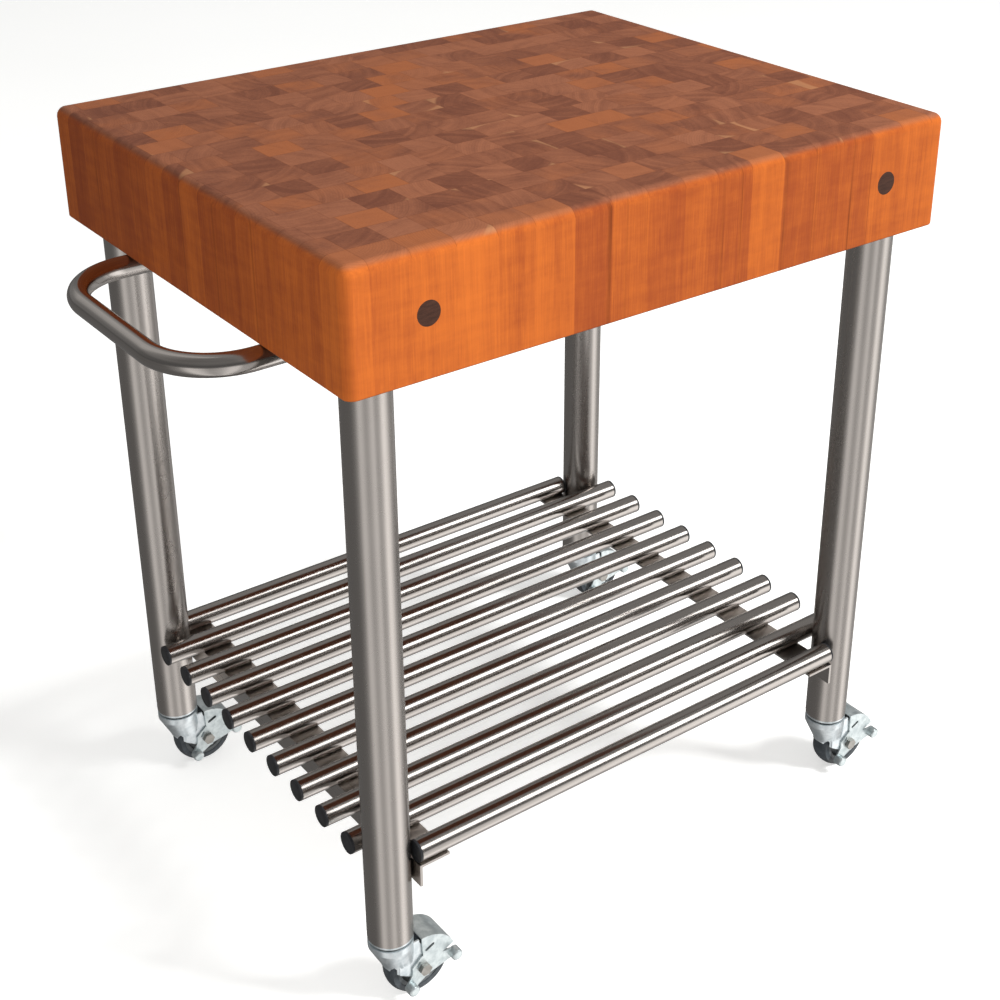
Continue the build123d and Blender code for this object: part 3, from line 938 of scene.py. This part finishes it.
@dataclass
class TowelHandle:
    """The bent tube handle under the end of the block."""

    finishes: Finishes
    bend: float = 0.075
    bend_steps: int = 28
    sides: int = 40
    cap_overlap: float = 0.012

    def tree(self) -> Growing:
        """Make the tree that sweeps a round tube along a path with rounded corners.

        Returns:
            The tree, which starts from the path.
        """
        grow = Growing("bent_tube")
        radius = grow.input("Radius", "Float")
        bend = grow.input("Bend", "Float")
        steps = grow.input("Bend steps", "Int")
        sides = grow.input("Sides", "Int")
        steel = grow.input("Steel", "Material")
        path = grow.node(
            "GeometryNodeFilletCurve", {"mode": "POLY"},
            {"Curve": Wire(grow, grow.given.outputs["Geometry"]), "Count": steps, "Radius": bend},
        )
        length = grow.node("GeometryNodeSplineParameter").other("Length")
        path = grow.node(
            "GeometryNodeStoreNamedAttribute", {"data_type": "FLOAT", "domain": "POINT"},
            {"Geometry": path, "Name": "along", "Value": length},
        )
        ring = grow.node(
            "GeometryNodeCurvePrimitiveCircle", sockets={"Resolution": sides, "Radius": radius}
        )
        ring = grow.node(
            "GeometryNodeStoreNamedAttribute", {"data_type": "FLOAT_VECTOR", "domain": "POINT"},
            {"Geometry": ring, "Name": "spoke", "Value": grow.node("GeometryNodeInputPosition")},
        )
        tube = grow.node(
            "GeometryNodeCurveToMesh",
            sockets={"Curve": path, "Profile Curve": ring, "Fill Caps": True},
        )
        along = grow.node(
            "GeometryNodeInputNamedAttribute", {"data_type": "FLOAT"}, {"Name": "along"}
        )
        spoke = grow.node(
            "GeometryNodeInputNamedAttribute", {"data_type": "FLOAT_VECTOR"}, {"Name": "spoke"}
        )
        rise = grow.node("ShaderNodeCombineXYZ", sockets={"Z": along})
        tube = grow.node(
            "GeometryNodeStoreNamedAttribute", {"data_type": "FLOAT_VECTOR", "domain": "POINT"},
            {"Geometry": tube, "Name": "brush", "Value": grow.vector("ADD", spoke, rise)},
        )
        tube = grow.node("GeometryNodeSetShadeSmooth", sockets={"Geometry": tube})
        grow.finish(tube, steel)
        return grow

    def build(self) -> None:
        """Sweep the handle along its path, worked out from the CAD handle's box."""
        low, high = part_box("handle_tube")
        radius = (high.z - low.z) / 2
        end = min(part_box("handle_caps")[0].x + self.cap_overlap, high.x)
        middle = low.z + radius
        corners = [
            (end, high.y - radius, middle),
            (low.x + radius, high.y - radius, middle),
            (low.x + radius, low.y + radius, middle),
            (end, low.y + radius, middle),
        ]
        curve = bpy.data.curves.new("handle_path", "CURVE")
        curve.dimensions = "3D"
        spline = curve.splines.new("POLY")
        spline.points.add(len(corners) - 1)
        for point, corner in zip(spline.points, corners):
            point.co = (*corner, 1.0)
        values = {
            "Radius": radius,
            "Bend": self.bend,
            "Bend steps": self.bend_steps,
            "Sides": self.sides,
            "Steel": self.finishes.handle_steel,
        }
        piece = self.tree().run(placed("handle_path", curve), "handle_bent_tube", values)
        stand_in(piece, "table", "stainless_steel", "handle_tube")
        dress(self.finishes.cap, "handle_caps")
        dress(self.finishes.fastener, "handle_screws")


# ------------------------------------------------------------------------------ shelf
@dataclass
class Shelf:
    """Round tubes on two angle rails, with a moulded cap in each tube end."""

    finishes: Finishes
    tubes: int = 11
    flange: float = 0.003
    dome: float = 0.0002
    plug: float = 0.006
    tube_wall: float = 0.00125
    lead: float = 0.0006
    rounding: float = 0.0004
    lip: float = 0.0021
    cap_sides: int = 40

    def cap(self, radius: float) -> bpy.types.Object:
        """Turn one cap, whose flange seats on z = 0 and whose plug goes down into the tube.

        Args:
            radius: the tube's outer radius.

        Returns:
            The cap.
        """
        inner = radius - self.tube_wall
        rim = self.flange - self.dome
        outline = [
            (0.0, -self.plug),
            (inner - self.lead, -self.plug),
            (inner, self.lead - self.plug),
            (inner, 0.0),
            (radius, 0.0),
            (radius, rim - self.rounding),
            (radius - self.rounding / 4, rim - self.rounding / 4),
            (radius - self.rounding, rim),
            (radius - self.lip, rim),
            (radius - self.lip - self.rounding, rim - self.rounding),
            (radius * 0.55, rim + self.dome * 0.4),
            (radius * 0.25, self.flange - self.dome * 0.15),
            (0.0, self.flange),
        ]
        return lathe("cap_blank", outline, self.cap_sides)

    def tree(self) -> Growing:
        """Make the tree that seats one cap on each marked tube end.

        Returns:
            The tree, which starts from the tube ends.
        """
        grow = Growing("capped_ends")
        cap = grow.input("Cap", "Object")
        plastic = grow.input("Plastic", "Material")
        shape = grow.node("GeometryNodeObjectInfo", sockets={"Object": cap}).other("Geometry")
        facing = grow.node(
            "GeometryNodeInputNamedAttribute", {"data_type": "FLOAT_VECTOR"}, {"Name": "facing"}
        )
        turn = grow.node("FunctionNodeAlignRotationToVector", {"axis": "Z"}, {"Vector": facing})
        ends = Wire(grow, grow.given.outputs["Geometry"])
        seated = grow.node(
            "GeometryNodeInstanceOnPoints",
            sockets={"Points": ends, "Instance": shape, "Rotation": turn},
        )
        grow.finish(seated, plastic)
        return grow

    def build(self) -> None:
        """Seat the caps and dress the tubes, rails and their fasteners."""
        names = [f"shelf_tube_{number:02d}" for number in range(1, self.tubes + 1)]
        places, facings, radius = [], [], 0.0
        for name in names:
            low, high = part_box(name)
            radius = (high.z - low.z) / 2
            middle = (low + high) / 2
            places += [(low.x, middle.y, middle.z), (high.x, middle.y, middle.z)]
            facings += [(-1.0, 0.0, 0.0), (1.0, 0.0, 0.0)]
        seeds = bpy.data.meshes.new("cap_seats")
        seeds.from_pydata(places, [], [])
        attribute = seeds.attributes.new("facing", "FLOAT_VECTOR", "POINT")
        for item, facing in zip(attribute.data, facings):
            item.vector = facing
        blank = self.cap(radius)
        values = {"Cap": blank, "Plastic": self.finishes.cap}
        caps = self.tree().run(placed("cap_seats", seeds), "shelf_end_caps", values)
        bpy.data.objects.remove(blank)
        stand_in(caps, "table", "cap_black", "shelf_tube_caps")
        dress(self.finishes.shelf_steel, *names)
        dress(self.finishes.rail_steel, "rail_left", "rail_right")
        dress(self.finishes.fastener, "shelf_screws", "rail_bolts", "rail_rivet_nuts")


# ------------------------------------------------------------------------------ casters
@dataclass
class Casters:
    """Four locking swivel casters."""

    finishes: Finishes
    fork_easing: float = 0.0004
    pedal_easing: float = 0.0003

    def build(self) -> None:
        """Dress the sockets and build every caster."""
        dress(self.finishes.zinc, "caster_sockets")
        dress(self.finishes.fastener, "caster_bearing_balls")
        for corner in CORNERS:
            self.caster(corner)

    def caster(self, corner: str) -> None:
        """Build one caster's eased pressings and dress its turned parts.

        Args:
            corner: the corner of the table that it stands under.
        """
        fork = eased_copy(f"caster_fork_{corner}", f"fork_pressing_{corner}", self.fork_easing)
        fork.data.materials.clear()
        fork.data.materials.append(self.finishes.zinc)
        stand_in(fork, f"swivel_{corner}", "zinc_plate", f"caster_fork_{corner}")
        pedal = eased_copy(f"brake_pedal_{corner}", f"brake_rocker_{corner}", self.pedal_easing)
        pedal.data.materials.clear()
        pedal.data.materials.append(self.finishes.pedal)
        stand_in(pedal, f"brake_{corner}", "pedal_grey", f"brake_pedal_{corner}")
        dress(self.finishes.zinc, f"caster_stem_{corner}")
        dress(self.finishes.fastener, f"caster_axle_{corner}")
        dress(self.finishes.hub, f"wheel_hub_{corner}")
        dress(self.finishes.tyre, f"wheel_tyre_{corner}")


# ------------------------------------------------------------------------------ studio
@dataclass(frozen=True)
class SoftBox:
    """A rectangular lamp that only lights; the steel mirrors the surroundings instead."""

    name: str
    place: tuple[float, float, float]
    aim: tuple[float, float, float]
    size: tuple[float, float]
    power: float

    def hang(self) -> None:
        """Hang the lamp in its place, pointed at its aim."""
        data = bpy.data.lights.new(self.name, "AREA")
        data.shape = "RECTANGLE"
        data.size, data.size_y = self.size
        data.energy = self.power
        lamp = placed(self.name, data)
        lamp.location = self.place
        direction = Vector(self.aim) - Vector(self.place)
        lamp.rotation_euler = direction.to_track_quat("-Z", "Y").to_euler()
        lamp.visible_glossy = False


@dataclass
class Studio:
    """A pale floor, two soft boxes, soft surroundings and the camera.

    A band of the surroundings is an angle in degrees, turning right from the camera's side, and a
    brightness.  The low bands lie under the horizon and the high bands over it.
    """

    place: tuple[float, float, float] = (-1.02495, -1.46754, 1.42137)
    azimuth: float = 36.42
    elevation: float = 26.09
    roll: float = 0.168
    lens: float = 61.375
    shift: tuple[float, float] = (-0.015, -0.100)
    sensor: float = 36.0
    sight: tuple[float, float] = (0.05, 100.0)
    floor_reach: float = 40.0
    floor_glow: float = 0.50
    key: SoftBox = SoftBox("key", (2.70, -3.15, 3.10), (0.05, 0.0, 0.45), (1.4, 1.0), 270.0)
    fill: SoftBox = SoftBox("fill", (-1.15, -1.25, 0.95), (-0.35, -0.28, 0.80), (0.5, 0.5), 10.0)
    ambient: float = 0.38
    backdrop: tuple[float, ...] = (0.93, 0.93, 0.925, 1.0)
    horizon_shade: tuple[float, ...] = (0.10, 0.10, 0.10, 1.0)
    window: tuple[float, float, float] = (0.53, -0.62, 0.575)
    window_light: tuple[float, ...] = (5.2, 5.15, 5.1, 1.0)
    band_tint: tuple[float, float, float] = (1.0, 0.975, 0.955)
    low_bands: tuple[tuple[float, float], ...] = (
        (-178, 0.15), (-62, 0.18), (-42, 0.36), (-28, 1.05), (-16, 0.92), (-2, 0.50), (12, 0.66),
        (24, 1.08), (38, 0.54), (58, 0.60), (76, 1.75), (92, 1.30), (112, 0.44), (150, 0.48),
    )
    high_bands: tuple[tuple[float, float], ...] = (
        (-178, 0.30), (-158, 0.34), (-145, 0.62), (-120, 0.62), (-104, 0.34), (-80, 0.26),
        (-50, 0.20), (0, 0.22), (60, 0.28), (110, 0.30), (150, 0.30),
    )

    def camera(self) -> None:
        """Set the camera by its place and the direction it looks in."""
        a, e, r = (math.radians(v) for v in (self.azimuth, self.elevation, self.roll))
        ahead = Vector((math.cos(e) * math.sin(a), math.cos(e) * math.cos(a), -math.sin(e)))
        level = Vector((math.cos(a), -math.sin(a), 0))
        above = level.cross(ahead)
        right = level * math.cos(r) - above * math.sin(r)
        up = above * math.cos(r) + level * math.sin(r)
        data = bpy.data.cameras.new("camera")
        data.sensor_width = self.sensor
        data.lens = self.lens
        data.shift_x, data.shift_y = self.shift
        data.clip_start, data.clip_end = self.sight
        camera = placed("camera", data)
        turn = Matrix((right, up, -ahead)).transposed().to_4x4()
        camera.matrix_world = Matrix.Translation(Vector(self.place)) @ turn
        bpy.context.scene.camera = camera

    def floor(self) -> None:
        """Lay the floor, which looks paler than it lights and isn't seen in the steel."""
        mesh = bpy.data.meshes.new("floor")
        reach = self.floor_reach
        corners = [(-reach, -reach, 0), (reach, -reach, 0), (reach, reach, 0), (-reach, reach, 0)]
        mesh.from_pydata(corners, [], [(0, 1, 2, 3)])
        floor = placed("floor", mesh)
        material, tree = new_material("pale_floor")
        cloud = tree.noise(tree.coordinate("Object"), (0.8, 0.8, 0.8), 2.0)
        seen = tree.node("ShaderNodeLightPath").other("Is Camera Ray")
        pale = tree.mix(cloud, tone("F4F4F2"), tone("FAFAF9"))
        tree.surface({
            "Base Color": tree.mix(seen, tone("969696"), pale),
            "Roughness": 0.9,
            "Specular IOR Level": 0.1,
            "Emission Color": tree.mix(seen, tone("000000"), pale),
            "Emission Strength": self.floor_glow,
        })
        mesh.materials.append(material)
        floor.visible_glossy = False

    def surroundings(self) -> None:
        """Light the table evenly, and give the steel a room with light and dark bands to mirror."""
        world = bpy.data.worlds.new("studio")
        world.use_nodes = True
        world.node_tree.nodes.clear()
        bpy.context.scene.world = world
        tree = Shading(world.node_tree)
        away = tree.node("ShaderNodeTexCoord").other("Generated")
        height = tree.axis(away, "Z")
        bearing = tree.math("ARCTAN2", tree.axis(away, "X"), tree.axis(away, "Y")) / math.tau + 0.5
        low, high = (
            tree.node("ShaderNodeValToRGB", {"stops": self.band_stops(bands)}, {"Fac": bearing})
            for bands in (self.low_bands, self.high_bands)
        )
        horizon = height.rise(-0.13, -0.05) * (1.0 - height.rise(0.24, 0.58))
        room = tree.mix(height.rise(-0.05, 0.10), low, high)
        room = tree.mix(horizon * 0.7, room, self.horizon_shade)
        toward = tree.vector("DOT_PRODUCT", away, Vector(self.window).normalized(), output=1)
        room = tree.mix(toward.rise(0.966, 0.990), room, self.window_light)
        rays = tree.node("ShaderNodeLightPath")
        soft = tree.mix(rays.other("Is Glossy Ray"), (self.ambient,) * 3 + (1.0,), room)
        seen = tree.mix(rays.other("Is Camera Ray"), soft, self.backdrop)
        light = tree.node("ShaderNodeBackground", sockets={"Color": seen, "Strength": 1.0})
        tree.node("ShaderNodeOutputWorld", sockets={"Surface": light})

    def band_stops(self, levels: tuple[tuple[float, float], ...]) -> list[tuple[float, tuple]]:
        """Turn the bands of one height into a colour ramp's stops.

        Args:
            levels: the angle and brightness of each band.

        Returns:
            The place and colour of each stop, in order.
        """
        stops = []
        for angle, level in levels:
            bearing = math.radians(self.azimuth + 180 - angle)
            share = (math.atan2(math.sin(bearing), math.cos(bearing)) / math.tau + 0.5) % 1.0
            stops.append((share, (*(level * part for part in self.band_tint), 1.0)))
        return sorted(stops)

    def build(self) -> None:
        """Set up the studio, with colours shown as they are."""
        self.camera()
        self.floor()
        self.key.hang()
        self.fill.hang()
        self.surroundings()
        bpy.context.scene.view_settings.view_transform = "Standard"


def main() -> None:
    """Build the table piece by piece."""
    logging.basicConfig(level=logging.INFO, format="%(message)s")
    finishes = Finishes()
    Studio().build()
    ButcherBlock(finishes).build()
    Legs(finishes).build()
    TowelHandle(finishes).build()
    Shelf(finishes).build()
    Casters(finishes).build()


if __name__ == "__main__":
    main()
